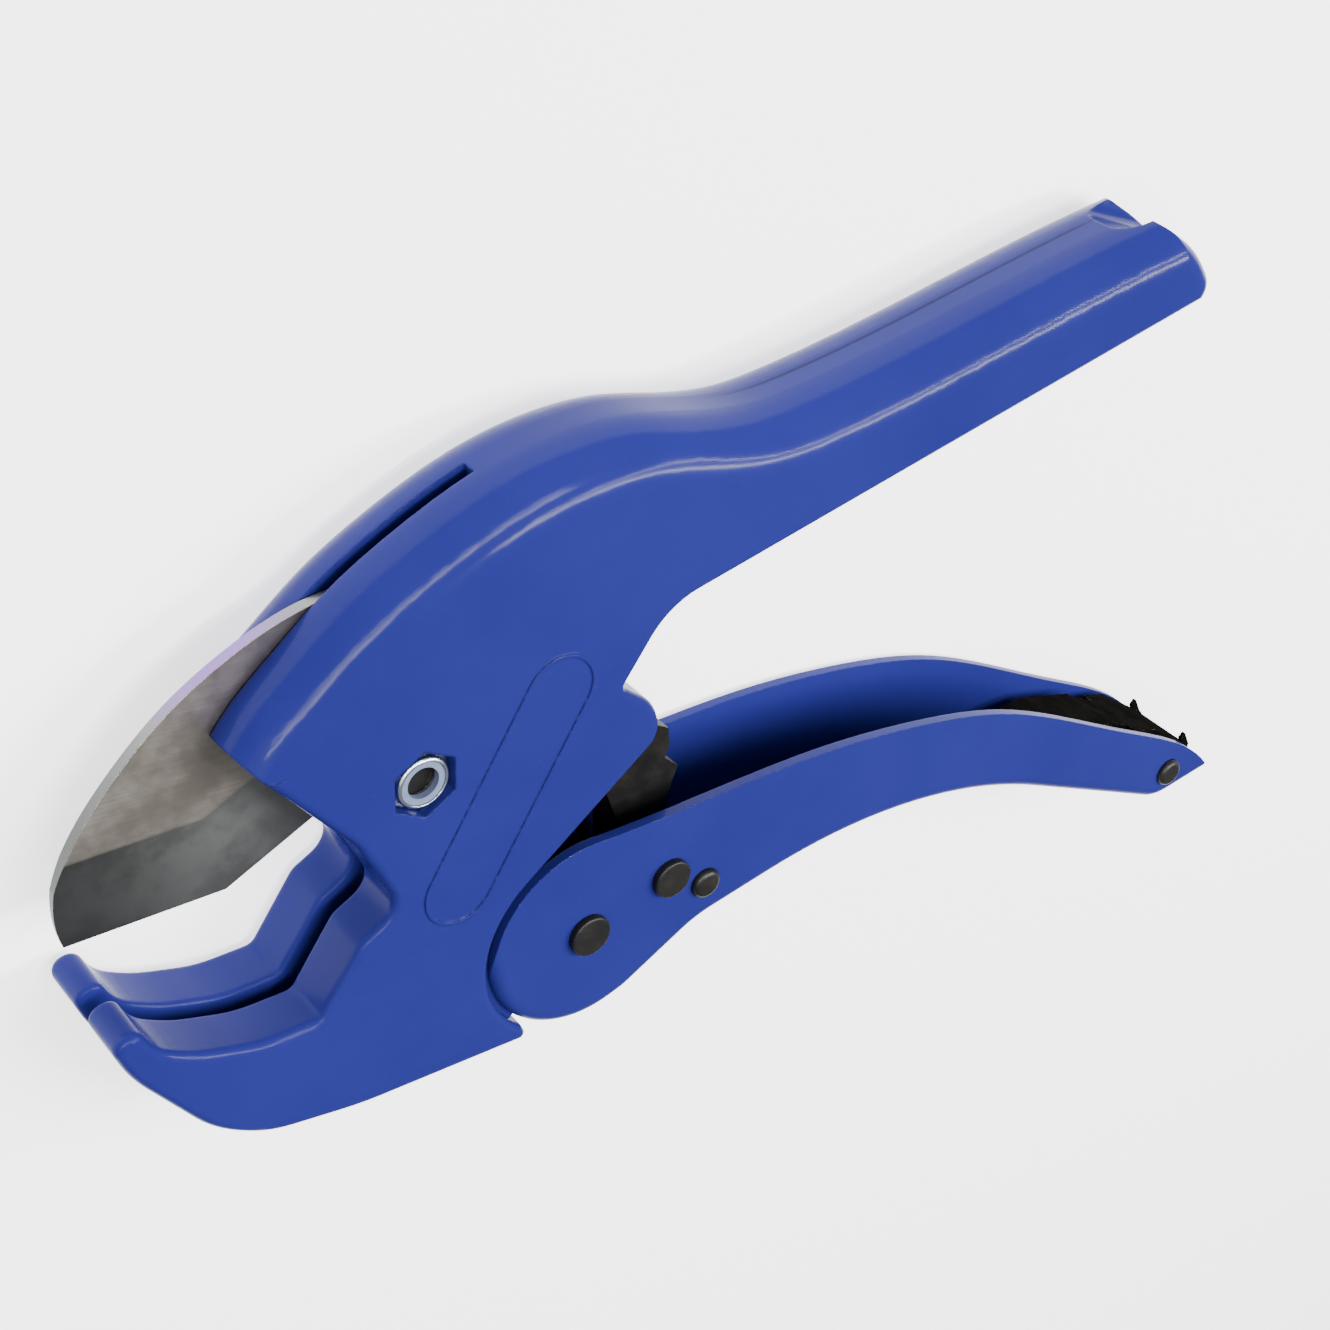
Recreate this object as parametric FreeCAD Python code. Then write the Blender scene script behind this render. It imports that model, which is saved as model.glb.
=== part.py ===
"""Ratchet cutter for plastic pipe up to 42 mm.

The tool is drawn in its own plane: X runs along the upper handle, Y points to
the tool's back, and Z rises from the far side to the side with the lock nut.
Everything is drawn about the blade's pivot at mid thickness, and then moved so
that the origin is at the middle of the bounding box's underside.
"""
import FreeCAD, Part
import math
import os

V = FreeCAD.Vector

# ---- driving dimensions, mm ----
HALF = 11.5                # half the casting's thickness
GAP_EDGE_R = 0.9           # rounding along the mouth of the gap between the cheeks
DOME_R = 9.0               # rounding along the back and the handle's top
HANDLE_END_R = 4.0         # rounding of the handle's end
EDGE_R = 1.4               # rounding of the other long edges
SLOT_HALF = 1.35           # half the blade slot in the back
JAW_GAP_HALF = 1.7         # half the gap between the jaw's cheeks
POCKET_HALF = 3.6          # half the pawl pocket
SCOOP_HALF = 5.2           # half the notch in the handle's end
EAR_HALF = 9.2             # half the tongue that the lever's flanges straddle
BLADE_HALF = 1.0           # half the blade's thickness
SHEET = 1.8                # lever's sheet
BEND_R = 2.4               # outside of the bend between web and flanges
PAWL_HALF = 3.2            # half the drive pawl's thickness
RUN = 0.05                 # running clearance, radial
SEAT = 0.1                 # clearance of fixed shanks, radial

PIVOT = (0.0, 0.0)         # blade
LEVER_PIN = (20.8, -49.0)
PAWL_PIN = (38.0, -48.0)
SPRING_PIN = (44.5, -54.2)
LATCH_PIN = (155.5, -104.2)

LEVER_HEAD_R = 18.4        # round head of the lever
LEVER_SLOPE = -14.8        # degrees, top edge of the lever beside its head
RECESS_R = 19.4            # recess in the casting round that head
LOBE_SLOPE = 25.5          # degrees, lower edge of the casting's rear lobe
EAR_R = 11.0               # tongue round the lever's pin

BOLT_R = 3.0
NUT_FLATS = 10.0
NUT_BOTTOM = 5.6
NUT_HEX_HEIGHT = 4.0
NUT_TURN = 18.0            # degrees
NUT_TOP = 11.2
BOLT_HEAD_HEIGHT = 4.0

TOOTH_TIP_R = 33.0
TOOTH_ROOT_R = 30.6
TOOTH_PITCH = 7.0          # degrees
TOOTH_COUNT = 10
TAIL_END = -8.0            # degrees, upper end of the toothed arc
TAIL_SLOT_R = 34.8
BLADE_REACH_R = 57.0       # clears the blade's tip all the way round
EDGE_HALF = 0.12           # half thickness left at the cutting edge
BEVEL_WIDTH = 15.5

PIN_R = 2.5
LATCH_PIN_R = 2.0
SPRING_PIN_R = 1.6


# ---- drawing helpers ----
def at(point, z=0.0):
    return V(point[0], point[1], z)


def polar(centre, radius, degrees):
    angle = math.radians(degrees)
    return (centre[0] + radius * math.cos(angle), centre[1] + radius * math.sin(angle))


def line(*points):
    """Straight runs from point to point."""
    return [Part.LineSegment(at(a), at(b)).toShape() for a, b in zip(points, points[1:])]


def curve(*points):
    """One smooth curve through the points."""
    spline = Part.BSplineCurve()
    spline.interpolate([at(p) for p in points])
    return [spline.toShape()]


def arc(start, middle, end):
    return [Part.Arc(at(start), at(middle), at(end)).toShape()]


def round_arc(centre, radius, first, last):
    """Arc about a centre, between two angles in degrees."""
    middle = (first + last) / 2
    return arc(*(polar(centre, radius, a) for a in (first, middle, last)))


def region(*runs):
    """Flat face inside runs that follow each other round an outline."""
    edges = [edge for run in runs for edge in run]
    return Part.Face(Part.Wire(edges))


def plate(face, low, high):
    """Face pushed through from z = low to z = high."""
    body = face.copy()
    body.translate(V(0, 0, low))
    return body.extrude(V(0, 0, high - low))


def polygon(*points):
    return region(line(*points, points[0]))


def disc(centre, radius, low, high):
    return Part.makeCylinder(radius, high - low, at(centre, low))


def ring(centre, outer, inner, low, high):
    return disc(centre, outer, low, high).cut(disc(centre, inner, low - 1, high + 1))


def hexagon(centre, flats, low, high, turn=0.0):
    corner = flats / math.sqrt(3)
    return plate(polygon(*(polar(centre, corner, turn + 60 * i) for i in range(6))), low, high)


def rim(solid, z, skip=lambda box: False):
    """Edges that lie flat at height z."""
    def wanted(edge):
        box = edge.BoundBox
        return abs(box.ZMin - z) < 0.01 and abs(box.ZMax - z) < 0.01 and not skip(box)
    return [edge for edge in solid.Edges if wanted(edge)]


def rounded(solid, radius, edges):
    """Solid with these edges filleted in one go."""
    result = solid.makeFillet(radius, edges)
    if not result.isValid():
        raise ValueError("a fillet made the solid invalid")
    return result


def path(*corners):
    """Straight runs joined by tangent arcs; each corner is (x, y, radius), and the ends have none."""
    runs, start = [], corners[0][:2]
    for before, corner, after in zip(corners, corners[1:], corners[2:]):
        point, radius = at(corner), corner[2]
        back = (at(before) - point).normalize()
        ahead = (at(after) - point).normalize()
        inside = back.getAngle(ahead)
        reach = radius / math.tan(inside / 2)
        first, last = point + back * reach, point + ahead * reach
        middle = point + (back + ahead).normalize() * (radius / math.sin(inside / 2) - radius)
        runs += line(start, first) + arc(first, middle, last)
        start = last
    return runs + line(start, corners[-1][:2])


def stadium_runs(start, end, radius):
    heading = math.degrees(math.atan2(end[1] - start[1], end[0] - start[0]))
    right, left = polar(end, radius, heading - 90), polar(end, radius, heading + 90)
    far_left, far_right = polar(start, radius, heading + 90), polar(start, radius, heading - 90)
    return (
        round_arc(end, radius, heading - 90, heading + 90),
        line(left, far_left),
        round_arc(start, radius, heading + 90, heading + 270),
        line(far_right, right),
    )


def stadium(start, end, radius, low, high):
    """Plate with straight sides and round ends."""
    return plate(region(*stadium_runs(start, end, radius)), low, high)


def join(solids):
    first, *others = solids
    return first.multiFuse(others).removeSplitter() if others else first


def sector(centre, radius, first, last, half):
    """Plate in the shape of a cake slice."""
    start, end = polar(centre, radius, first), polar(centre, radius, last)
    face = region(line(centre, start), round_arc(centre, radius, first, last), line(end, centre))
    return plate(face, -half, half)


# ---- casting ----
BLADE_ROOT = (-12.8, -4.5)     # where the cutting edge meets the body
FRONT_TOP = (-45.97, 60.0)     # the body's front edge, carried on above the back
LOBE_START = polar(LEVER_PIN, RECESS_R, 90 + LOBE_SLOPE)
HEEL_ANGLE = 218               # degrees, lower end of the recess round the lever's head
BACK = ((-30, 15), (-20.5, 24.4), (-13.4, 28.3), (-3.1, 33.4), (7.7, 36.9), (18.4, 39.2),
        (29.2, 40.2), (40.0, 39.4), (50.8, 36.6), (61.5, 31.4), (72.3, 27.1), (83.0, 25.3), (115.4, 23.5),
        (137.0, 22.9), (150.0, 22.2), (172.0, 20.0))
HANDLE_END = ((120, 24.6, 0), (156.1, 22.3, 6), (163.6, 14.2, 22), (166.9, 6.4, 4.3), (158.6, -2.2, 0))


def casting_plate():
    """Side profile below the back, with its long edges rounded."""
    front_and_jaw = path(
        (*FRONT_TOP, 0), (*BLADE_ROOT, 8), (-8.9, -20.6, 4.5), (-16.9, -22.9, 4), (-27, -32.6, 1.8),
        (-36.5, -30.3, 22), (-46, -24.7, 25), (-51.4, -19.6, 10), (-52.7, -13.9, 2.2), (-57.5, -13.9, 2.3),
        (-56.7, -21.5, 30), (-48, -41.5, 25), (-40.5, -48.8, 22), (-25, -55.2, 60), (6.2, -63.8, 1.0),
        (*polar(LEVER_PIN, RECESS_R, HEEL_ANGLE), 0))
    rear = path(
        (*LOBE_START, 0), (41.6, -17.6, 4.5), (41.6, -11, 8), (36.3, -4.3, 1), (47.2, 5.8, 14), (172, 4.9, 0))
    outline = region(
        front_and_jaw,
        round_arc(LEVER_PIN, RECESS_R, HEEL_ANGLE, 90 + LOBE_SLOPE),
        rear,
        line((172, 4.9), (172, 60), FRONT_TOP),
    )
    body = plate(outline, -HALF, HALF)
    for z in (HALF, -HALF):
        body = rounded(body, EDGE_R, rim(body, z, lambda box: box.YMax > 59))
    return body


def dome():
    """Block whose back follows the tool's back, with its large roundings."""
    below = line(BACK[-1], (172, -8), (40, -90), (-70, -90), (-70, BACK[0][1]), BACK[0])
    block = plate(region(curve(*BACK), below), -HALF, HALF)
    back = [edge for edge in rim(block, HALF) + rim(block, -HALF)
            if edge.Curve.TypeId == "Part::GeomBSplineCurve"]
    return rounded(block, DOME_R, back)


def handle_end():
    """Block whose right side is the rounded end of the handle."""
    first, last = HANDLE_END[0][:2], HANDLE_END[-1][:2]
    outline = region(path(*HANDLE_END), line(last, (40, -90), (-70, -90), (-70, 60), first))
    block = plate(outline, -HALF, HALF)
    end = [edge for edge in rim(block, HALF) + rim(block, -HALF) if edge.BoundBox.XMin > first[0] - 1]
    return rounded(block, HANDLE_END_R, end)


def tongue():
    """Ear round the lever's pin, thin enough to stand between the flanges."""
    ear = disc(LEVER_PIN, EAR_R, -EAR_HALF, EAR_HALF)
    root = sector(LEVER_PIN, RECESS_R + 3, 118, 212, EAR_HALF)
    return ear.fuse(root).removeSplitter()


def blade_room():
    """Slot for the blade through the back and the jaw, and for its tail inside."""
    tail = disc(PIVOT, TAIL_SLOT_R, -SLOT_HALF, SLOT_HALF)
    back_end = polygon((24.2, 46), (24.2, 38), (10, 20), PIVOT, (-60, 5), (-70, 20), (-40, 50))
    jaw = sector(PIVOT, BLADE_REACH_R, 165, 248, JAW_GAP_HALF)
    tips = Part.makeBox(12, 16, 2 * JAW_GAP_HALF, V(-62, -25, -JAW_GAP_HALF))
    return join([tail, plate(back_end, -SLOT_HALF, SLOT_HALF), jaw, tips])


def pawl_room():
    """Pocket for the pawls and springs, open below and behind, and a round one at the pivot."""
    outline = polygon((28, -10), (29.5, -1.5), (46, -1.5), (62, -12), (62, -70), (13, -70), (9, -60),
                      (9, -38), (12.5, -29), (22, -20))
    return join([plate(outline, -POCKET_HALF, POCKET_HALF),
                 disc(PIVOT, 10.5, -POCKET_HALF, POCKET_HALF)])


def handle_scoop():
    """Notch in the handle's end, where the latch's claw comes down."""
    notch = plate(polygon((146, 24.6), (172, 7.5), (185, 30), (146, 45)), -SCOOP_HALF, SCOOP_HALF)
    floor = [edge for edge in rim(notch, SCOOP_HALF) + rim(notch, -SCOOP_HALF)
             if edge.BoundBox.YMin < 8 and edge.BoundBox.XMax < 172.5]
    return rounded(notch, 3.0, floor)


def handle_core():
    """Hollow along the underside of the handle."""
    core = Part.makeBox(82, 12, 15, V(54, 3, -7.5))
    upright = [e for e in core.Edges if abs(e.BoundBox.ZLength) < 0.01 and e.BoundBox.YMin > 14]
    return core.makeFillet(3, upright)


def plaque_bead():
    """Thin raised outline of an empty plaque on the near side."""
    start, end = (1.0, -23.6), (25.3, 2.6)
    outer = stadium(start, end, 6.5, HALF - 0.3, HALF + 0.25)
    return outer.cut(stadium(start, end, 5.9, HALF - 1, HALF + 1))


def on_jaw_surface(edge):
    """True for the gap's edges along the outside of the jaw, from its tips to the blade's root."""
    box = edge.BoundBox
    inside = box.XMin < -50 and abs(box.YMax + 25) < 0.05
    spline = edge.Curve.TypeId == "Part::GeomBSplineCurve"
    return box.XMax < -9.5 and box.YMax < -5.3 and edge.Length < 12.5 and not inside and not spline


def body_casting():
    body = casting_plate().common(dome()).common(handle_end())
    body = body.fuse(tongue())
    cuts = [
        blade_room(),
        pawl_room(),
        handle_scoop(),
        handle_core(),
        disc(PIVOT, BOLT_R + SEAT, -HALF - 1, HALF + 1),
        hexagon(PIVOT, NUT_FLATS + 0.5, NUT_BOTTOM, HALF + 1, turn=NUT_TURN),
        disc(PIVOT, 6.5, -HALF - 1, -HALF + BOLT_HEAD_HEIGHT + 0.1),
        disc(LEVER_PIN, PIN_R + RUN, -HALF, HALF),
    ]
    body = body.cut(join(cuts[:2])).cut(cuts[2]).cut(cuts[3])
    for tool in cuts[4:]:
        body = body.cut(tool)
    body = body.fuse(plaque_bead()).removeSplitter()
    for z in (JAW_GAP_HALF, -JAW_GAP_HALF):
        body = rounded(body, GAP_EDGE_R, [edge for edge in rim(body, z) if on_jaw_surface(edge)])
    return body


# ---- blade and its pivot ----
BLADE_TIP = (-55.8, -2.3)
EDGE_CORNER = (-30.6, -8.7)


def blade_outline():
    teeth = []
    for i in range(TOOTH_COUNT):
        last = TAIL_END - i * TOOTH_PITCH
        teeth += [polar(PIVOT, TOOTH_TIP_R, last), polar(PIVOT, TOOTH_ROOT_R, last - 0.75 * TOOTH_PITCH)]
    tail_foot = polar(PIVOT, TOOTH_ROOT_R, TAIL_END - TOOTH_COUNT * TOOTH_PITCH)
    return region(
        line(BLADE_TIP, EDGE_CORNER, BLADE_ROOT),
        curve(BLADE_ROOT, (-7, -16), (2.5, -23.9), tail_foot),
        line(tail_foot, *reversed(teeth)),
        curve(teeth[0], (30, 4), (24, 14), (14, 25), (2, 31), (-8, 32.4), (-20, 30.8), (-30, 27.5),
              (-40, 21.9), (-49, 14.8), (-54.2, 8.2)),
        curve((-54.2, 8.2), (-55.6, 3.4), BLADE_TIP),
    )


def bevel_cutter(start, end, before, after, side):
    """Wedge that takes the face off beside one straight stretch of the cutting edge."""
    along = (at(end) - at(start)).normalize()
    inward = V(-along.y, along.x, 0)
    first = at(start) - along * before
    low, high = V(0, 0, EDGE_HALF * side), V(0, 0, BLADE_HALF * side)
    section = [first - inward * 2 + low, first - inward * 2 + high * 3,
               first + inward * BEVEL_WIDTH + high * 3, first + inward * BEVEL_WIDTH + high, first + low]
    length = before + (at(end) - at(start)).Length + after
    return Part.Face(Part.makePolygon(section + section[:1])).extrude(along * length)


def blade():
    body = plate(blade_outline(), -BLADE_HALF, BLADE_HALF)
    for side in (1, -1):
        body = body.cut(bevel_cutter(BLADE_TIP, EDGE_CORNER, 10, 0, side))
        body = body.cut(bevel_cutter(EDGE_CORNER, BLADE_ROOT, 0, 3, side))
    return body.cut(disc(PIVOT, BOLT_R + RUN, -5, 5))


def pivot_bolt():
    under_head = -HALF + BOLT_HEAD_HEIGHT + 0.1
    shank = disc(PIVOT, BOLT_R, -HALF + 1, NUT_TOP - 2.4)
    head = hexagon(PIVOT, NUT_FLATS, -HALF + 0.1, under_head)
    return shank.fuse(head.common(disc(PIVOT, 5.5, -HALF, 0))).removeSplitter()


def lock_nut():
    hexagonal = hexagon(PIVOT, NUT_FLATS, NUT_BOTTOM, NUT_BOTTOM + NUT_HEX_HEIGHT, turn=NUT_TURN)
    collar = disc(PIVOT, 4.6, NUT_BOTTOM, NUT_TOP)
    collar = rounded(collar, 0.7, rim(collar, NUT_TOP))
    insert_seat = disc(PIVOT, 3.9, NUT_TOP - 1.5, NUT_TOP + 1)
    return join([hexagonal, collar]).cut(disc(PIVOT, BOLT_R + RUN, 0, 20)).cut(insert_seat)


def nut_insert():
    return ring(PIVOT, 3.85, BOLT_R - 0.25, NUT_TOP - 1.5, NUT_TOP - 0.3)


def blade_spacers():
    return pair(ring(PIVOT, 5.6, BOLT_R + SEAT, BLADE_HALF + 0.05, POCKET_HALF))


def coil(centre, radius, wire, low, high, legs):
    """Closely wound torsion spring as a sleeve, with straight legs at mid height."""
    middle = (low + high) / 2
    parts = [ring(centre, radius + wire / 2, radius - wire / 2, low, high)]
    for start, end in legs:
        run = at(end, middle) - at(start, middle)
        parts.append(Part.makeCylinder(wire / 2, run.Length, at(start, middle), run))
    return join(parts)


def blade_spring():
    return coil(PIVOT, 6.9, 1.0, BLADE_HALF + 0.2, POCKET_HALF - 0.2, [((6.9, 0), (8.9, -3.4))])


# ---- lever and the pieces on it ----
HEAD_TANGENT = 90 + LEVER_SLOPE
WEB_START = 232                # degrees, where the web begins on the head
LEVER_TIP = (166.5, -109.4)
WASHER_R = 7.0


def lever_underside():
    """Lower edge of the lever, from the end of its round head to its tip."""
    start = polar(LEVER_PIN, LEVER_HEAD_R, 275)
    ahead = (start[0] + 3.2 * math.cos(math.radians(5)), start[1] + 3.2 * math.sin(math.radians(5)))
    return ((*start, 0), (*ahead, 12), (42, -62.2, 20), (93.1, -63.5, 105), (152.3, -110.2, 10))


def lever_outline():
    head_top = polar(LEVER_PIN, LEVER_HEAD_R, HEAD_TANGENT)
    return region(
        curve(LEVER_TIP, (161.6, -101.9), (156.1, -96.2), (143.8, -85.6), (127.9, -71.7), (112.9, -60.2),
              (93.6, -50.3), (72, -42.5), (48, -36.7), head_top),
        round_arc(LEVER_PIN, LEVER_HEAD_R, HEAD_TANGENT, 275),
        path(*lever_underside(), (164.4, -111.1, 0)),
        arc((164.4, -111.1), (166.2, -110.8), LEVER_TIP),
    )


def channel_outline():
    """The lever's side view with its head's front and its underside, open-ended above and behind."""
    left = (LEVER_PIN[0] - LEVER_HEAD_R, -20)
    shoulder = (left[0], LEVER_PIN[1])
    return region(
        line(left, shoulder),
        round_arc(LEVER_PIN, LEVER_HEAD_R, 180, 275),
        path(*lever_underside(), (188.6, -112.9, 0)),
        line((188.6, -112.9), (188.6, -20), left),
    )


def lever():
    blank = plate(channel_outline(), -HALF, HALF)
    for z in (HALF, -HALF):
        blank = rounded(blank, BEND_R, rim(blank, z, lambda box: box.XMax > 188.5 and box.YMax > -21))
    body = plate(lever_outline(), -HALF, HALF).common(blank)
    half = HALF - SHEET
    body = body.cut(plate(channel_outline().makeOffset2D(-SHEET), -half, half))
    body = body.cut(sector(LEVER_PIN, 30, 60, WEB_START, half))
    end = polygon((134, -116), (134, -80), (150, -80), (175, -100), (175, -116))
    body = body.cut(plate(end, -half, half))
    for pin, radius in ((LEVER_PIN, PIN_R), (PAWL_PIN, PIN_R), (SPRING_PIN, SPRING_PIN_R),
                        (LATCH_PIN, LATCH_PIN_R)):
        body = body.cut(disc(pin, radius + SEAT, -20, 20))
    return body


def rivet(centre, shank, head, height, rounding):
    """Rivet through both flanges, with a formed head on each side."""
    body = disc(centre, shank, -HALF - height / 2, HALF + height / 2)
    cap = disc(centre, head, HALF, HALF + height)
    cap = rounded(cap, rounding, rim(cap, HALF + height))
    return join([body, cap, cap.mirror(V(0, 0, 0), V(0, 0, 1))])


def pair(solid):
    """The solid and its mirror image in the middle plane, as two separate solids."""
    return Part.makeCompound([solid, solid.mirror(V(0, 0, 0), V(0, 0, 1))])


def lever_washers():
    return pair(ring(LEVER_PIN, WASHER_R, PIN_R + SEAT, EAR_HALF + 0.05, HALF - SHEET))


def lever_spring():
    legs = [((21.0, -52.9), (44.0, -56.7)), (polar(LEVER_PIN, 3.9, 200), polar(LEVER_PIN, 8, 200))]
    return coil(LEVER_PIN, 3.9, 1.5, 1.55, 3.35, legs)


def drive_pawl():
    outline = region(
        line((29.5, -17.3), (36, -20.6), (44.2, -22.4), (47.6, -25.6), (47.3, -29.4), (45.9, -31.4),
             (48.1, -34.6), (45.3, -39.2), polar(PAWL_PIN, 5.3, 11)),
        round_arc(PAWL_PIN, 5.3, 11, -190),
        line(polar(PAWL_PIN, 5.3, -190), (34.4, -36.5), (33.2, -27), (29.5, -17.3)),
    )
    body = plate(outline, -PAWL_HALF, PAWL_HALF)
    return body.cut(disc(PAWL_PIN, PIN_R + RUN, -10, 10))


def drive_pawl_spring():
    return coil(PAWL_PIN, 4.6, 1.2, PAWL_HALF + 0.3, PAWL_HALF + 2.2, [((38, -52.6), (46.5, -51.7))])


def pawl_spacers():
    far = ring(PAWL_PIN, 5.0, PIN_R + SEAT, -HALF + SHEET, -PAWL_HALF - 0.1)
    near = ring(PAWL_PIN, 5.0, PIN_R + SEAT, PAWL_HALF + 2.4, HALF - SHEET)
    return Part.makeCompound([far, near])


def hold_pawl():
    outline = region(
        line((15.7, -29.6), (18.6, -32.6), (21.6, -38), polar(LEVER_PIN, 5, 20)),
        round_arc(LEVER_PIN, 5, 20, -200),
        line(polar(LEVER_PIN, 5, -200), (13.6, -40), (13.1, -33.6), (15.7, -29.6)),
    )
    body = plate(outline, -PAWL_HALF, 1.3)
    return body.cut(disc(LEVER_PIN, PIN_R + RUN, -10, 10))


def hold_pawl_spring():
    leaf = polygon((9.0, -59), (9.7, -59), (9.7, -50), (12.2, -38), (11.6, -38), (9.0, -49.6))
    return plate(leaf, -2.6, 0.9)


# ---- latch ----
LATCH_BENDS = ((165.5, -106.3), (156.2, -95.8), (150.8, -92.6), (145.3, -87.8), (133.5, -81.2), (127, -79.6))
LATCH_SHEET = 1.6


def folded_sheet(bends, thickness):
    """Side view of a folded sheet: its outer line, and the same line moved inward."""
    points = [at(p) for p in bends]
    runs = [(b - a).normalize() for a, b in zip(points, points[1:])]
    inner = []
    for point, before, after in zip(points, [runs[0]] + runs, runs + [runs[-1]]):
        mitre = V(-before.y, before.x, 0) + V(-after.y, after.x, 0)
        mitre.normalize()
        inner.append(point + mitre * (thickness / abs(mitre.dot(V(-after.y, after.x, 0)))))
    return region(line(*bends, *((p.x, p.y) for p in reversed(inner)), bends[0]))


def latch():
    sheet = folded_sheet(LATCH_BENDS, LATCH_SHEET)
    parts = []
    for x_low, x_high, half in ((150.8, 170, 7.4), (145.3, 150.8, 5.2), (120, 145.3, 6.2)):
        stretch = Part.makeBox(x_high - x_low, 60, 2 * half, V(x_low, -130, -half))
        parts.append(plate(sheet, -8, 8).common(stretch))
    ear = region(
        line((150.5, -93.5), (156.2, -95.8), (160, -101.5), (164.8, -105.3)),
        arc((164.8, -105.3), (165.7, -106.4), (165.2, -107.5)),
        line((165.2, -107.5), (161, -109.0)),
        arc((161, -109.0), (155.5, -108.6), (151.2, -106)),
        line((151.2, -106), (150.5, -93.5)),
    )
    parts += [plate(ear, 5.8, 7.4), plate(ear, -7.4, -5.8)]
    claw = polygon((146.6, -90.8), (141.3, -90.4), (136.9, -95.3), (134.9, -94.8), (138.9, -88.4),
                   (142.0, -86.7), (146.3, -89.4))
    parts.append(plate(claw, -3, 3))
    lug = polygon((164.6, -107.0), (163.7, -103.6), (164.9, -102.7), (165.9, -106.4))
    parts += [plate(lug, 6.5, 7.4), plate(lug, -7.4, -6.5)]
    return join(parts).cut(disc(LATCH_PIN, LATCH_PIN_R + RUN, -20, 20))


def latch_washer():
    return ring(LATCH_PIN, 3.9, LATCH_PIN_R + SEAT, 7.45, 8.1)


def latch_spacers():
    near = ring(LATCH_PIN, 3.4, LATCH_PIN_R + SEAT, 8.15, HALF - SHEET)
    far = ring(LATCH_PIN, 3.4, LATCH_PIN_R + SEAT, -HALF + SHEET, -7.45)
    return Part.makeCompound([near, far])


# ---- the whole tool ----
def main():
    nodes = {
        "body_casting": body_casting(),
        "blade": blade(),
        "pivot_bolt": pivot_bolt(),
        "lock_nut": lock_nut(),
        "nut_insert": nut_insert(),
        "blade_spacers": blade_spacers(),
        "blade_spring": blade_spring(),
        "lever": lever(),
        "lever_pivot_rivet": rivet(LEVER_PIN, PIN_R, 3.8, 1.4, 0.4),
        "lever_washers": lever_washers(),
        "lever_spring": lever_spring(),
        "hold_pawl": hold_pawl(),
        "hold_pawl_spring": hold_pawl_spring(),
        "drive_pawl": drive_pawl(),
        "drive_pawl_spring": drive_pawl_spring(),
        "pawl_rivet": rivet(PAWL_PIN, PIN_R, 3.6, 1.4, 0.4),
        "pawl_spacers": pawl_spacers(),
        "spring_rivet": rivet(SPRING_PIN, SPRING_PIN_R, 2.85, 1.3, 1.1),
        "latch": latch(),
        "latch_rivet": rivet(LATCH_PIN, LATCH_PIN_R, 2.9, 1.3, 1.1),
        "latch_spacers": latch_spacers(),
        "latch_washer": latch_washer(),
    }
    whole = Part.makeCompound(list(nodes.values())).optimalBoundingBox(False)
    shift = V(-whole.Center.x, -whole.Center.y, -whole.ZMin)
    os.makedirs("parts", exist_ok=True)
    for name, shape in nodes.items():
        moved = shape.copy()
        moved.translate(shift)
        moved.exportStep(f"parts/{name}.step")
        print(f"{name:20s} solids {len(shape.Solids)} valid {shape.isValid()} volume {shape.Volume:.0f}")
    print("size", round(whole.XLength, 2), round(whole.YLength, 2), round(whole.ZLength, 2))
    for name, pin in (("pivot", PIVOT), ("lever", LEVER_PIN), ("pawl", PAWL_PIN), ("latch", LATCH_PIN)):
        print(f"{name} axis through", [round(c, 3) for c in at(pin) + shift])


if __name__ == "__main__":
    main()
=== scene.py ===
"""Looks of the ratchet pipe cutter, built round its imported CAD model.

Lengths are in metres, in the CAD model's own frame: X along the handle, Y to
the tool's back, Z from the bolt-head side up to the side with the lock nut.
"""
import logging
import math
from dataclasses import dataclass, field
from enum import Enum

import bpy
from mathutils import Matrix, Vector


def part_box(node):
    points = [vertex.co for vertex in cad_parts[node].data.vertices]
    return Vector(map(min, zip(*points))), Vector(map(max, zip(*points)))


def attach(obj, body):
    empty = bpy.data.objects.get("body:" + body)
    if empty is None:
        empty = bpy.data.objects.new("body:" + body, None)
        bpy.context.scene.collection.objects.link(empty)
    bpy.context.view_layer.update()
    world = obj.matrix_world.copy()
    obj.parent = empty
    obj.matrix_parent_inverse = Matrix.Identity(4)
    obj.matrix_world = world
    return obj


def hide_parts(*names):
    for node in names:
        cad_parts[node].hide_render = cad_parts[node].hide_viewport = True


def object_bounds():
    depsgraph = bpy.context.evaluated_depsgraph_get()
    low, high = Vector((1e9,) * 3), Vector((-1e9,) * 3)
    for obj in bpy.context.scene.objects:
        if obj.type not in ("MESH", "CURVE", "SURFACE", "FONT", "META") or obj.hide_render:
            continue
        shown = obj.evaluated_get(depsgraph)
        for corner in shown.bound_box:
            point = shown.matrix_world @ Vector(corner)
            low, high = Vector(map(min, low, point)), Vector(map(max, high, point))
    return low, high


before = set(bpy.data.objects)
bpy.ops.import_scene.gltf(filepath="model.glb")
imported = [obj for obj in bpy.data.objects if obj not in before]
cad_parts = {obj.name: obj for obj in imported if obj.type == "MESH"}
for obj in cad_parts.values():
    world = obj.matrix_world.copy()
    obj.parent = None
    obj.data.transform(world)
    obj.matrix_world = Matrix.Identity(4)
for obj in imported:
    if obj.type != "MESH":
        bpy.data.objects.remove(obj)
CAD_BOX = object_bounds()

log = logging.getLogger("pipe_cutter")

Colour = tuple[float, float, float]
Point = tuple[float, float, float]
Socket = bpy.types.NodeSocket

WHITE: Colour = (1.0, 1.0, 1.0)


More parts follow.
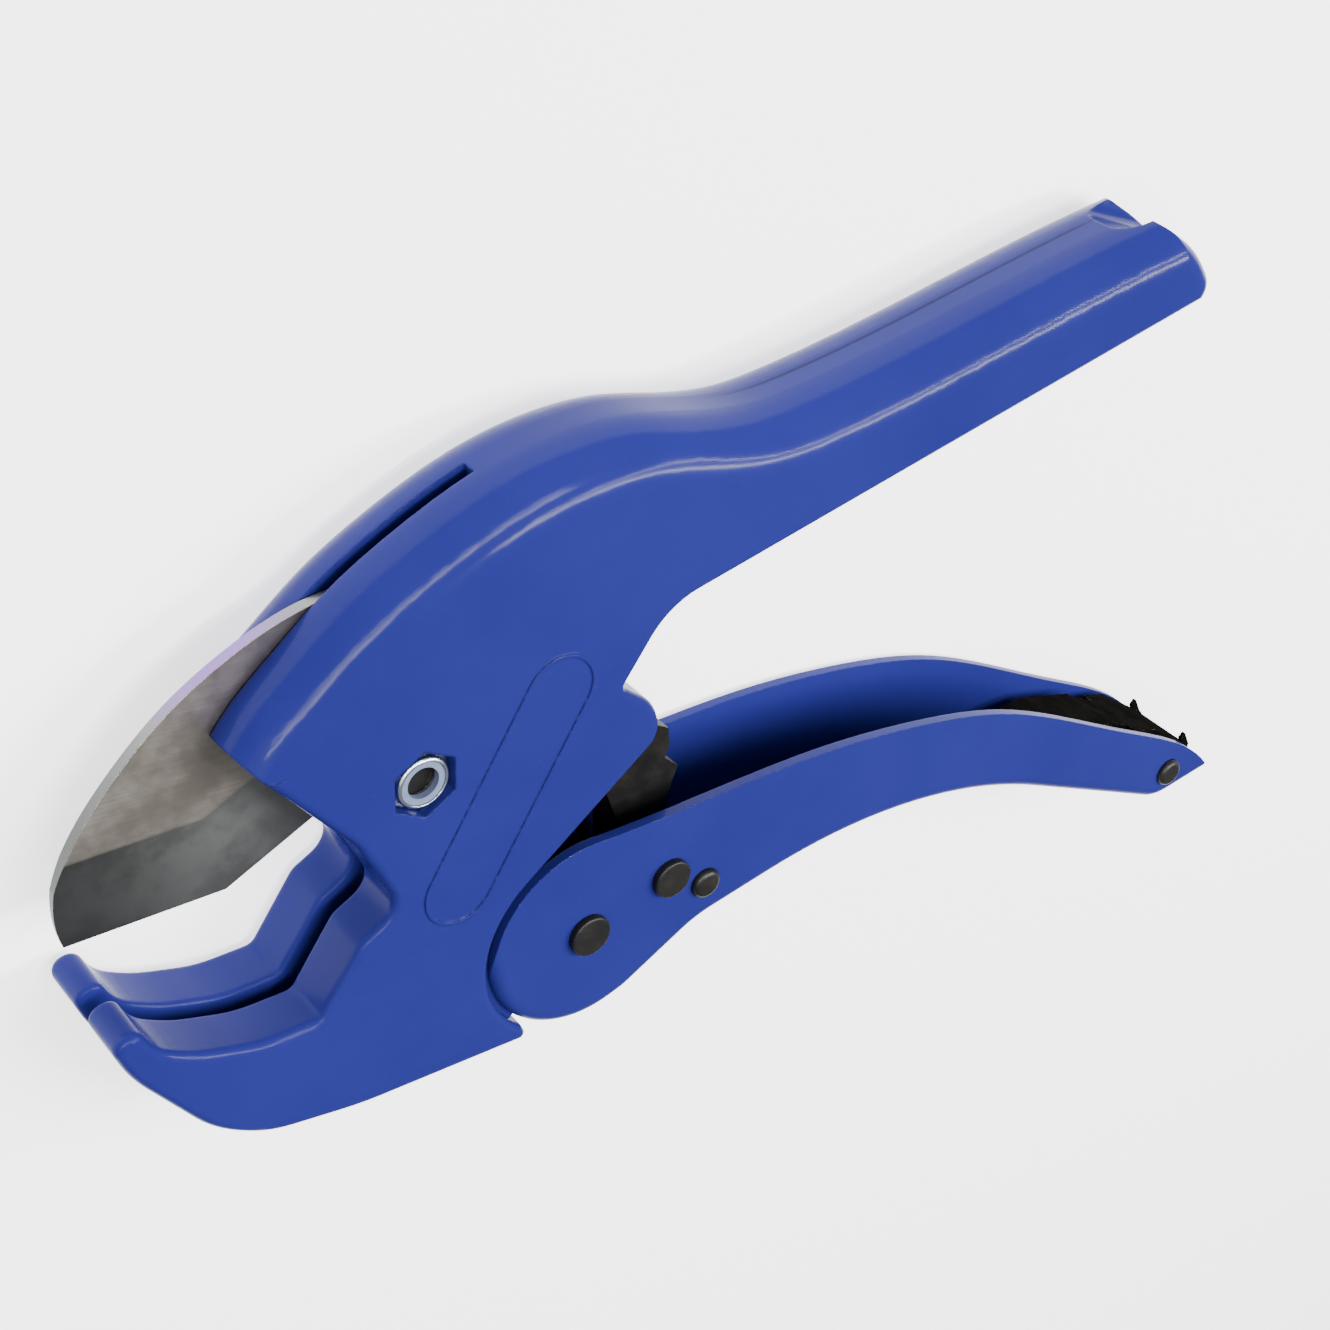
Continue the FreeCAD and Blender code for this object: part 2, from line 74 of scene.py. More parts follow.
class Body(Enum):
    """Bodies of the tool that move as one."""

    FRAME = "frame"
    BLADE = "blade"
    HOLD_PAWL = "hold_pawl"
    LEVER = "lever"
    DRIVE_PAWL = "drive_pawl"
    LATCH = "latch"


class Slot(Enum):
    """Material slots of the record."""

    BODY_PAINT = "body_paint"
    LEVER_PAINT = "lever_paint"
    BLADE_STEEL = "blade_steel"
    ZINC = "zinc_steel"
    SPRING = "spring_steel"
    BLACK = "black_steel"
    NYLON = "nylon"


# ---------------------------------------------------------------- shader helpers
class Graph:
    """Short way to place and join nodes in one node tree."""

    def __init__(self, tree: bpy.types.NodeTree) -> None:
        """Starts on a tree.

        Args:
            tree: the tree that gets the nodes.
        """
        self.tree = tree

    def node(self, kind: str, inputs: dict | None = None, **settings) -> bpy.types.Node:
        """Adds a node.

        Args:
            kind: bpy type name of the node.
            inputs: socket name or index to a value or to a socket to join it to.
            **settings: attributes of the node.

        Returns:
            The new node.
        """
        made = self.tree.nodes.new(kind)
        for name, value in settings.items():
            setattr(made, name, value)
        for name, value in (inputs or {}).items():
            self.put(made.inputs[name], value)
        return made

    def put(self, socket: Socket, value) -> None:
        """Joins a socket to another, or sets its own value."""
        if isinstance(value, bpy.types.NodeSocket):
            self.tree.links.new(value, socket)
        else:
            socket.default_value = value

    def math(self, operation: str, *values, clamp: bool = False) -> Socket:
        """Result of a Math node."""
        made = self.node("ShaderNodeMath", operation=operation, use_clamp=clamp)
        for socket, value in zip(made.inputs, values):
            self.put(socket, value)
        return made.outputs[0]

    def mix(self, mask, first, second) -> Socket:
        """Colour between two colours, by a mask from 0 to 1."""
        made = self.node("ShaderNodeMix", data_type="RGBA")
        for index, value in ((0, mask), (6, first), (7, second)):
            self.put(made.inputs[index], rgba(value) if isinstance(value, tuple) else value)
        return made.outputs[2]

    def ramp(self, value: Socket, low: float, high: float,
             out_low: float = 0.0, out_high: float = 1.0) -> Socket:
        """Smooth step of a value between two limits, onto another range."""
        made = self.node("ShaderNodeMapRange", interpolation_type="SMOOTHSTEP")
        for index, number in enumerate((value, low, high, out_low, out_high)):
            self.put(made.inputs[index], number)
        return made.outputs[0]

    def noise(self, vector: Socket, scale: float, detail: float = 3.0, rough: float = 0.55) -> Socket:
        """Noise value over a vector."""
        made = self.node("ShaderNodeTexNoise", {"Vector": vector, "Scale": scale, "Detail": detail,
                                                "Roughness": rough})
        return made.outputs["Fac"]

    def stretch(self, vector: Socket, scale: Point, turn: float = 0.0) -> Socket:
        """Vector turned about Z and then scaled."""
        turned = self.node("ShaderNodeMapping", {"Vector": vector, "Rotation": (0, 0, turn)})
        return self.node("ShaderNodeMapping", {"Vector": turned.outputs[0], "Scale": scale}).outputs[0]


def rgba(colour: Colour) -> tuple[float, float, float, float]:
    """Colour with full alpha."""
    return (*colour, 1.0)


def new_group(name: str, inputs: dict[str, tuple[str, object]],
              outputs: dict[str, str]) -> tuple[Graph, dict, dict]:
    """Starts a shader node group.

    Args:
        name: the group's name.
        inputs: socket name to its type and default value.
        outputs: socket name to its type.

    Returns:
        The graph inside the group, its input sockets by name, and its output sockets by name.
    """
    tree = bpy.data.node_groups.new(name, "ShaderNodeTree")
    for label, (kind, value) in inputs.items():
        socket = tree.interface.new_socket(label, in_out="INPUT", socket_type=kind)
        if value is not None:
            socket.default_value = value
    for label, kind in outputs.items():
        tree.interface.new_socket(label, in_out="OUTPUT", socket_type=kind)
    graph = Graph(tree)
    inside = tree.nodes.new("NodeGroupInput")
    outside = tree.nodes.new("NodeGroupOutput")
    return graph, {s.name: s for s in inside.outputs}, {s.name: s for s in outside.inputs}


FLOAT, VECTOR = "NodeSocketFloat", "NodeSocketVector"


def edge_wear_group() -> bpy.types.NodeTree:
    """Mask that is 1 on convex edges, broken up by noise.

    Returns:
        The node group, with inputs Vector, Radius, Amount and Grain, and output Mask.
    """
    graph, given, out = new_group(
        "edge wear",
        {"Vector": (VECTOR, None), "Radius": (FLOAT, 0.0004), "Amount": (FLOAT, 0.5),
         "Grain": (FLOAT, 900.0)},
        {"Mask": FLOAT},
    )
    bevel = graph.node("ShaderNodeBevel", {"Radius": given["Radius"]}, samples=6)
    normal = graph.node("ShaderNodeNewGeometry").outputs["Normal"]
    dot = graph.node("ShaderNodeVectorMath", {0: bevel.outputs[0], 1: normal}, operation="DOT_PRODUCT")
    turned = graph.math("SUBTRACT", 1.0, dot.outputs["Value"])
    broken = graph.noise(given["Vector"], given["Grain"], 4.0, 0.7)
    limit = graph.math("MULTIPLY", graph.math("SUBTRACT", 1.0, given["Amount"]), 0.3)
    raised = graph.math("MULTIPLY", turned, graph.ramp(broken, 0.35, 0.7))
    graph.put(out["Mask"], graph.math("MULTIPLY", graph.math("SUBTRACT", raised, limit), 8.0, clamp=True))
    return graph.tree


def handling_group() -> bpy.types.NodeTree:
    """Slow cloudiness, fine scratches and specks of dust, as a roughness and a mask.

    Returns:
        The node group, with inputs Vector, Base, Spread and Scratches, and outputs Roughness and Specks.
    """
    graph, given, out = new_group(
        "handling marks",
        {"Vector": (VECTOR, None), "Base": (FLOAT, 0.3), "Spread": (FLOAT, 0.08), "Scratches": (FLOAT, 0.1)},
        {"Roughness": FLOAT, "Specks": FLOAT},
    )
    cloud = graph.noise(given["Vector"], 45.0, 5.0, 0.6)
    one = graph.noise(graph.stretch(given["Vector"], (2600.0, 60.0, 60.0), 0.5), 1.0, 2.0)
    two = graph.noise(graph.stretch(given["Vector"], (60.0, 2200.0, 60.0), 0.35), 1.0, 2.0)
    marks = graph.math("MAXIMUM", graph.ramp(one, 0.68, 0.76), graph.ramp(two, 0.69, 0.77))
    swing = graph.math("MULTIPLY", graph.math("SUBTRACT", cloud, 0.5), given["Spread"])
    rough = graph.math("ADD", graph.math("ADD", given["Base"], swing),
                       graph.math("MULTIPLY", marks, given["Scratches"]))
    graph.put(out["Roughness"], rough)
    graph.put(out["Specks"], graph.ramp(graph.noise(given["Vector"], 1500.0, 1.0), 0.735, 0.76))
    return graph.tree


def grinding_group() -> bpy.types.NodeTree:
    """Fine parallel grinding lines across X of the vector it is given, after a turn and a scale.

    Returns:
        The node group, with inputs Vector, Scale and Rotation, and output Lines.
    """
    graph, given, out = new_group(
        "grinding lines",
        {"Vector": (VECTOR, None), "Scale": (VECTOR, (1.0, 1.0, 1.0)), "Rotation": (VECTOR, (0.0, 0.0, 0.0))},
        {"Lines": FLOAT},
    )
    turned = graph.node("ShaderNodeMapping", {"Vector": given["Vector"], "Rotation": given["Rotation"]})
    fine = graph.node("ShaderNodeMapping", {"Vector": turned.outputs[0], "Scale": given["Scale"]}).outputs[0]
    graph.put(out["Lines"], graph.noise(fine, 1.0, 3.0, 0.6))
    return graph.tree


# ---------------------------------------------------------------- finishes
@dataclass(frozen=True)
class Groups:
    """Shader node groups that the finishes share."""

    wear: bpy.types.NodeTree
    marks: bpy.types.NodeTree
    grinding: bpy.types.NodeTree


class Finish:
    """Base of the finishes: a material with an object-space vector and a Principled shader."""

    def __init__(self, name: str, groups: Groups) -> None:
        """Starts an empty material.

        Args:
            name: the material's name.
            groups: the shared node groups.
        """
        self.material = bpy.data.materials.new(name)
        self.material.use_nodes = True
        self.groups = groups
        self.graph = Graph(self.material.node_tree)
        self.shader = self.material.node_tree.nodes["Principled BSDF"]
        self.place = self.graph.node("ShaderNodeTexCoord").outputs["Object"]

    def group(self, tree: bpy.types.NodeTree, **inputs) -> bpy.types.Node:
        """Shared group placed in this material, with Vector joined to object space."""
        made = self.graph.node("ShaderNodeGroup", node_tree=tree)
        self.graph.put(made.inputs["Vector"], self.place)
        for name, value in inputs.items():
            self.graph.put(made.inputs[name], value)
        return made

    def set(self, **values) -> None:
        """Sets or joins sockets of the shader; an underscore stands for a space."""
        for name, value in values.items():
            self.graph.put(self.shader.inputs[name.replace("_", " ")], value)

    def bump(self, height: Socket, strength: float, distance: float, over: Socket | None = None) -> Socket:
        """Normal bent by a height.

        Args:
            height: the height, from 0 to 1.
            strength: how much of the bump shows.
            distance: the height in metres.
            over: a normal to start from.

        Returns:
            The bent normal.
        """
        inputs = {"Height": height, "Strength": strength, "Distance": distance}
        if over is not None:
            inputs["Normal"] = over
        return self.graph.node("ShaderNodeBump", inputs).outputs[0]

    def soft_edges(self, radius: float) -> Socket:
        """Normal that rounds small sharp edges."""
        return self.graph.node("ShaderNodeBevel", {"Radius": radius}, samples=6).outputs[0]


@dataclass(frozen=True)
class PartingCreaseShade:
    """Place of the thin parting-line crease along the handle's upper side, in the CAD frame, darkened with
    painted shade.
    """

    first: float = 0.005
    last: float = 0.098
    level: float = 0.0115
    fade_in: float = 0.02
    fade_out: float = 0.008
    core: float = 0.00016
    edge: float = 0.00050
    facing: tuple[float, float] = (0.25, 0.40)


@dataclass(frozen=True)
class PaintLook:
    """Numbers of a powder-coated finish."""

    name: str
    colour: Colour = (0.0155, 0.0178, 0.1420)
    shade: Colour = (0.0132, 0.0152, 0.1265)
    worn: Colour = (0.07, 0.09, 0.32)
    rough: float = 0.22
    wear: float = 0.10
    edge: float = 0.0007
    gloss: float = 0.10
    # settings of the painted shade along the parting-line crease; None leaves it out
    crease_shade: PartingCreaseShade | None = None


def parting_crease_shade(made: Finish, place: PartingCreaseShade) -> Socket:
    """Mask of painted shade along the parting-line crease, drawn only where the surface faces the tool's
    back.

    Args:
        made: the finish it is drawn in.
        place: where the line runs and how thin it is.

    Returns:
        The mask.
    """
    graph = made.graph
    spot = graph.node("ShaderNodeSeparateXYZ", {0: made.place}).outputs
    normal = graph.node("ShaderNodeNewGeometry").outputs["Normal"]
    upper = graph.node("ShaderNodeSeparateXYZ", {0: normal}).outputs["Y"]
    off = graph.math("ABSOLUTE", graph.math("SUBTRACT", spot["Z"], place.level))
    thin = graph.ramp(off, place.core, place.edge, 1.0, 0.0)
    starts = graph.ramp(spot["X"], place.first, place.first + place.fade_in)
    ends = graph.ramp(spot["X"], place.last - place.fade_out, place.last, 1.0, 0.0)
    line = graph.math("MULTIPLY", thin, graph.math("MULTIPLY", starts, ends))
    return graph.math("MULTIPLY", line, graph.ramp(upper, *place.facing))


def paint(look: PaintLook, groups: Groups) -> bpy.types.Material:
    """Blue powder coat with a slight orange peel, worn edges and, where given, painted shade along a
    parting-line crease.

    Args:
        look: its colours and strengths.
        groups: the shared node groups.

    Returns:
        The material.
    """
    made = Finish(look.name, groups)
    graph = made.graph
    marks = made.group(groups.marks, Base=look.rough, Spread=0.06, Scratches=0.02)
    wear = made.group(groups.wear, Radius=0.0005, Amount=look.wear, Grain=700.0).outputs["Mask"]
    cloud = graph.ramp(graph.noise(made.place, 30.0, 4.0), 0.3, 0.7)
    colour = graph.mix(cloud, look.shade, look.colour)
    colour = graph.mix(graph.math("MULTIPLY", marks.outputs["Specks"], 0.06), colour, (0.06, 0.08, 0.36))
    colour = graph.mix(wear, colour, look.worn)
    # painted shade: a dark line along the handle's parting-line crease, standing in for the shade that falls
    # in the crease
    if look.crease_shade is not None:
        painted_crease_shade = parting_crease_shade(made, look.crease_shade)
        colour = graph.mix(graph.math("MULTIPLY", painted_crease_shade, 0.9), colour, (0.003, 0.004, 0.045))
    peel = graph.noise(made.place, 520.0, 2.0, 0.5)
    grain = graph.noise(made.place, 1900.0, 2.0, 0.5)
    height = graph.math("ADD", peel, graph.math("MULTIPLY", grain, 0.25))
    normal = made.bump(height, 0.16, 0.00005, made.soft_edges(look.edge))
    rough = graph.math("ADD", marks.outputs["Roughness"], graph.math("MULTIPLY", wear, 0.1))
    made.set(Base_Color=colour, Roughness=rough, Normal=normal, Metallic=0.0, Specular_IOR_Level=0.02,
             Coat_Weight=look.gloss, Coat_Roughness=0.11, Coat_Normal=normal, IOR=1.5)
    return made.material


@dataclass(frozen=True)
class BlackLook:
    """Numbers of a black-oxide finish."""

    name: str
    colour: Colour = (0.006, 0.006, 0.006)
    bare: Colour = (0.16, 0.155, 0.14)
    rough: float = 0.42
    wear: float = 0.3
    gloss: float = 0.28
    haze: Colour = (0.014, 0.013, 0.011)


def black_oxide(look: BlackLook, groups: Groups) -> bpy.types.Material:
    """Black oxide on steel, rubbed bare along its edges.

    Args:
        look: its colours and strengths.
        groups: the shared node groups.

    Returns:
        The material.
    """
    made = Finish(look.name, groups)
    graph = made.graph
    marks = made.group(groups.marks, Base=look.rough, Spread=0.22, Scratches=0.12)
    wear = made.group(groups.wear, Radius=0.0004, Amount=look.wear, Grain=1100.0).outputs["Mask"]
    blotch = graph.ramp(graph.noise(made.place, 260.0, 5.0, 0.65), 0.35, 0.75)
    colour = graph.mix(blotch, look.colour, look.haze)
    colour = graph.mix(wear, colour, look.bare)
    normal = made.bump(graph.noise(made.place, 1400.0, 3.0), 0.4, 0.00005, made.soft_edges(0.00025))
    made.set(Base_Color=colour, Roughness=marks.outputs["Roughness"], Normal=normal,
             Metallic=graph.math("MULTIPLY", wear, 0.9), Specular_IOR_Level=look.gloss)
    return made.material


@dataclass(frozen=True)
class PlatedLook:
    """Numbers of a bright plated or drawn steel finish."""

    name: str
    colour: Colour = (0.56, 0.62, 0.70)
    stain: Colour = (0.36, 0.40, 0.47)
    rough: float = 0.24
    stretch: Point = (1.0, 1.0, 6.0)


def plated(look: PlatedLook, groups: Groups) -> bpy.types.Material:
    """Plated or drawn steel with faint stains and drawing marks.

    Args:
        look: its colours and strengths.
        groups: the shared node groups.

    Returns:
        The material.
    """
    made = Finish(look.name, groups)
    graph = made.graph
    marks = made.group(groups.marks, Base=look.rough, Spread=0.16, Scratches=0.1)
    lines = made.group(groups.grinding, Scale=tuple(900.0 * s for s in look.stretch))
    stain = graph.ramp(graph.noise(made.place, 420.0, 4.0), 0.45, 0.75)
    colour = graph.mix(graph.math("MULTIPLY", stain, 0.6), look.colour, look.stain)
    normal = made.bump(lines.outputs["Lines"], 0.25, 0.00003, made.soft_edges(0.0003))
    made.set(Base_Color=colour, Roughness=marks.outputs["Roughness"], Normal=normal, Metallic=1.0)
    return made.material


@dataclass(frozen=True)
class BladeLook:
    """Numbers of the ground blade; places are in the CAD frame."""

    flat: Colour = (0.22, 0.20, 0.175)
    flat_light: Colour = (0.38, 0.35, 0.31)
    bevel: Colour = (0.065, 0.068, 0.068)
    # bevel colour where the painted sheen is full: a painted highlight
    bevel_highlight: Colour = (0.190, 0.193, 0.190)
    heat: Colour = (0.20, 0.10, 0.36)
    half: float = 0.0010
    middle: float = 0.0129
    heat_from: Point = (-0.0752, 0.0665, 0.0)
    heat_core: float = 0.002
    heat_reach: float = 0.016
    # X span over which the bevel colour rises to its painted highlight
    painted_sheen: tuple[float, float] = (-0.108, -0.078)


def ground_steel(look: BladeLook, groups: Groups) -> bpy.types.Material:
    """Ground steel: warm flats, greyer bevels with lines square to the edge, a painted sheen that lightens
    the bevels along the blade, and heat colour at the back.

    Args:
        look: its colours and places.
        groups: the shared node groups.

    Returns:
        The material.
    """
    made = Finish("blade ground steel", groups)
    graph = made.graph
    z = graph.node("ShaderNodeSeparateXYZ", {0: made.place}).outputs["Z"]
    depth = graph.math("ABSOLUTE", graph.math("SUBTRACT", z, look.middle))
    on_bevel = graph.math("SUBTRACT", 1.0, graph.ramp(depth, look.half - 0.00004, look.half - 0.00001))
    flat_lines = made.group(groups.grinding, Scale=(2600.0, 70.0, 200.0), Rotation=(0.0, 0.0, -1.25))
    bevel_lines = made.group(groups.grinding, Scale=(3400.0, 90.0, 200.0), Rotation=(0.0, 0.0, 0.12))
    cloud = graph.ramp(graph.noise(made.place, 70.0, 5.0, 0.65), 0.3, 0.7)
    flat = graph.mix(graph.math("MULTIPLY", flat_lines.outputs["Lines"], cloud), look.flat, look.flat_light)
    along = graph.node("ShaderNodeSeparateXYZ", {0: made.place}).outputs["X"]
    # painted sheen: the bevel is painted lighter as X grows, standing in for a reflection on it
    painted_sheen = graph.math("MULTIPLY", graph.ramp(along, *look.painted_sheen), graph.ramp(cloud, 0.0, 1.0, 0.7, 1.0))
    bevel = graph.mix(painted_sheen, look.bevel, look.bevel_highlight)
    colour = graph.mix(on_bevel, flat, bevel)
    offset = graph.node("ShaderNodeVectorMath", {0: made.place, 1: look.heat_from}, operation="SUBTRACT")
    flatten = graph.node("ShaderNodeVectorMath", {0: offset.outputs[0], 1: (1.0, 1.0, 0.0)},
                         operation="MULTIPLY")
    reach = graph.node("ShaderNodeVectorMath", {0: flatten.outputs[0]}, operation="LENGTH").outputs["Value"]
    heat = graph.math("MULTIPLY", graph.ramp(reach, look.heat_core, look.heat_reach, 0.85, 0.0),
                      graph.ramp(on_bevel, 0.0, 1.0, 0.12, 1.0))
    colour = graph.mix(heat, colour, look.heat)
    wear = made.group(groups.wear, Radius=0.0003, Amount=0.6, Grain=500.0).outputs["Mask"]
    colour = graph.mix(graph.math("MULTIPLY", wear, 0.6), colour, (0.62, 0.60, 0.57))
    lines = graph.node("ShaderNodeMix", {0: on_bevel, 2: flat_lines.outputs["Lines"],
                                         3: bevel_lines.outputs["Lines"]}).outputs[0]
    normal = made.bump(lines, 0.3, 0.00004, made.soft_edges(0.0002))
    rough = graph.ramp(cloud, 0.0, 1.0, 0.34, 0.44)
    made.set(Base_Color=colour, Roughness=rough, Normal=normal, Metallic=0.9, Anisotropic=0.3)
    return made.material


def nylon(groups: Groups) -> bpy.types.Material:
    """Blue-grey nylon of the lock nut's ring.

    Args:
        groups: the shared node groups.

    Returns:
        The material.
    """
    made = Finish("lock nut nylon", groups)
    graph = made.graph
    marks = made.group(groups.marks, Base=0.45, Spread=0.1, Scratches=0.1)
    cloud = graph.noise(made.place, 600.0, 3.0)
    made.set(Base_Color=graph.mix(cloud, (0.10, 0.13, 0.22), (0.18, 0.22, 0.34)),
             Roughness=marks.outputs["Roughness"], Normal=made.bump(cloud, 0.3, 0.00005),
             Subsurface_Weight=0.0)
    return made.material


class Finishes:
    """All finishes of the tool, made once."""

    def __init__(self) -> None:
        """Builds the shared groups and every material."""
        groups = Groups(edge_wear_group(), handling_group(), grinding_group())
        self.casting = paint(PaintLook("casting powder coat", crease_shade=PartingCreaseShade()), groups)
        self.lever = paint(PaintLook("lever powder coat", rough=0.34, wear=0.12, edge=0.0003), groups)
        self.blade = ground_steel(BladeLook(), groups)
        self.rivet = black_oxide(BlackLook("rivet black oxide", wear=0.42), groups)
        self.pawl = black_oxide(BlackLook("pawl black oxide", wear=0.10, rough=0.48, gloss=0.08), groups)
        self.latch = black_oxide(
            BlackLook("latch black oxide", wear=0.08, rough=0.55, gloss=0.0,
                      colour=(0.0030, 0.0030, 0.0028), haze=(0.006, 0.0058, 0.0052)), groups)
        self.nut = plated(PlatedLook("lock nut zinc"), groups)
        self.bolt = black_oxide(BlackLook("bolt black oxide", wear=0.3, rough=0.38), groups)
        self.washer = plated(PlatedLook("washer steel", colour=(0.42, 0.42, 0.43), rough=0.36), groups)
        self.spring = plated(PlatedLook("spring wire", colour=(0.30, 0.29, 0.28), stain=(0.16, 0.15, 0.14),
                                        rough=0.32), groups)
        self.nylon = nylon(groups)


# ---------------------------------------------------------------- pieces
def dress(node: str, material: bpy.types.Material) -> None:
    """Gives a CAD node its material.

    Args:
        node: name of the CAD node.
        material: its material.
    """
    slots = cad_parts[node].material_slots
    for index in range(len(slots)):
        slots[index].material = material
    log.info("CAD node %s gets %s", node, material.name)


def wire_tree() -> bpy.types.NodeTree:
    """Geometry node tree that sweeps a round wire along a path.

    Returns:
        The tree, with inputs Geometry, Wire Radius, Sides and Finish.
    """
    tree = bpy.data.node_groups.new("round wire along a path", "GeometryNodeTree")
    face = tree.interface
    face.new_socket("Geometry", in_out="INPUT", socket_type="NodeSocketGeometry")
    face.new_socket("Wire Radius", in_out="INPUT", socket_type="NodeSocketFloat").default_value = 0.0005
    face.new_socket("Sides", in_out="INPUT", socket_type="NodeSocketInt").default_value = 14
    face.new_socket("Finish", in_out="INPUT", socket_type="NodeSocketMaterial")
    face.new_socket("Geometry", in_out="OUTPUT", socket_type="NodeSocketGeometry")
    graph = Graph(tree)
    given = tree.nodes.new("NodeGroupInput").outputs
    section = graph.node("GeometryNodeCurvePrimitiveCircle",
                         {"Resolution": given["Sides"], "Radius": given["Wire Radius"]}).outputs[0]
    sweep = graph.node("GeometryNodeCurveToMesh",
                       {"Curve": given["Geometry"], "Profile Curve": section, "Fill Caps": True})
    whole = graph.node("GeometryNodeRealizeInstances", {0: sweep.outputs[0]})
    smooth = graph.node("GeometryNodeSetShadeSmooth", {0: whole.outputs[0]})
    dressed = graph.node("GeometryNodeSetMaterial",
                         {"Geometry": smooth.outputs[0], "Material": given["Finish"]})
    graph.put(tree.nodes.new("NodeGroupOutput").inputs[0], dressed.outputs[0])
    return tree


def set_input(modifier: bpy.types.Modifier, label: str, value) -> None:
    """Sets a geometry tree's input on its modifier, by the socket's identifier."""
    for item in modifier.node_group.interface.items_tree:
        if item.item_type == "SOCKET" and item.in_out == "INPUT" and item.name == label:
            modifier[item.identifier] = value


@dataclass
class WireSpring:
    """Torsion spring: a coil about an axis along Z, with a straight leg at each end."""

    name: str
    replaced: str
    body: Body
    centre: Point
    radius: float
    wire: float
    height: float
    turns: float
    first_leg: float
    last_leg: float
    start_degrees: float
    clockwise: bool = False
    steps: int = 28
    sides: int = 14

    def path(self) -> list[Vector]:
        """Points of the wire's centre line, from the end of one leg to the end of the other.

        Returns:
            The points, in the CAD frame.
        """
        way = -1.0 if self.clockwise else 1.0
        start = math.radians(self.start_degrees)
        count = int(self.turns * self.steps)
        coil = []
        for i in range(count + 1):
            part = i / count
            angle = start + way * 2 * math.pi * self.turns * part
            coil.append(Vector((self.radius * math.cos(angle), self.radius * math.sin(angle),
                                (part - 0.5) * self.height)))
        enter = (coil[0] - coil[1]).normalized()
        leave = (coil[-1] - coil[-2]).normalized()
        points = [coil[0] + enter * self.first_leg] + coil + [coil[-1] + leave * self.last_leg]
        return [Vector(self.centre) + p for p in points]

    def build(self, tree: bpy.types.NodeTree, finish: bpy.types.Material) -> bpy.types.Object:
        """Sweeps the wire, makes it a plain mesh and sets it on its body.

        Args:
            tree: the geometry node tree of round wires.
            finish: the wire's material.

        Returns:
            The finished piece.
        """
        line = bpy.data.curves.new(self.name + "_path", "CURVE")
        line.dimensions = "3D"
        spline = line.splines.new("POLY")
        points = self.path()
        spline.points.add(len(points) - 1)
        for slot, point in zip(spline.points, points):
            slot.co = (*point, 1.0)
        holder = bpy.data.objects.new(self.name + "_path", line)
        bpy.context.collection.objects.link(holder)
        sweep = holder.modifiers.new("wire", "NODES")
        sweep.node_group = tree
        set_input(sweep, "Wire Radius", self.wire / 2)
        set_input(sweep, "Sides", self.sides)
        set_input(sweep, "Finish", finish)
        piece = plain_mesh(holder, self.name)
        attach(piece, self.body.value)
        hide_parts(self.replaced)
        log.info("%s: %d points of wire", self.name, len(points))
        return piece


def plain_mesh(source: bpy.types.Object, name: str) -> bpy.types.Object:
    """Turns an object with modifiers into a plain mesh object at the origin.

    Args:
        source: the object, which is removed.
        name: name of the new object.

    Returns:
        The new object.
    """
    bpy.context.view_layer.update()
    graph = bpy.context.evaluated_depsgraph_get()
    mesh = bpy.data.meshes.new_from_object(source.evaluated_get(graph), depsgraph=graph)
    mesh.name = name
    piece = bpy.data.objects.new(name, mesh)
    bpy.context.collection.objects.link(piece)
    bpy.data.objects.remove(source)
    return piece


def middle_of(node: str) -> Vector:
    """Middle of a CAD node's box."""
    low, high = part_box(node)
    return (low + high) / 2


@dataclass
class Casting:
    """Body casting with its bolt, lock nut and hidden small parts."""

    steel_nodes: tuple[str, ...] = ("blade_spacers",)

    def build(self, finishes: Finishes) -> None:
        """Dresses the nodes that stay as they are.

        Args:
            finishes: the tool's finishes.
        """
        dress("body_casting", finishes.casting)
        dress("lock_nut", finishes.nut)
        dress("pivot_bolt", finishes.bolt)
        dress("nut_insert", finishes.nylon)
        dress("hold_pawl_spring", finishes.spring)
        for node in self.steel_nodes:
            dress(node, finishes.washer)


@dataclass
class BladeSet:
    """Blade, the pawl that holds it, and its spring."""

    def build(self, finishes: Finishes) -> None:
        """Dresses the blade and its pawl."""
        dress("blade", finishes.blade)
        dress("hold_pawl", finishes.pawl)


@dataclass
class LeverSet:
    """Lever with its rivets, pawl, spacers and washers."""

    rivets: tuple[str, ...] = ("lever_pivot_rivet", "pawl_rivet", "spring_rivet", "latch_rivet")
    steel_nodes: tuple[str, ...] = ("lever_washers", "pawl_spacers", "latch_spacers", "latch_washer")

    def build(self, finishes: Finishes) -> None:
        """Dresses the lever and what rides on it."""
        dress("lever", finishes.lever)
        dress("drive_pawl", finishes.pawl)
        dress("latch", finishes.latch)
        for node in self.rivets:
            dress(node, finishes.rivet)
        for node in self.steel_nodes:
            dress(node, finishes.washer)


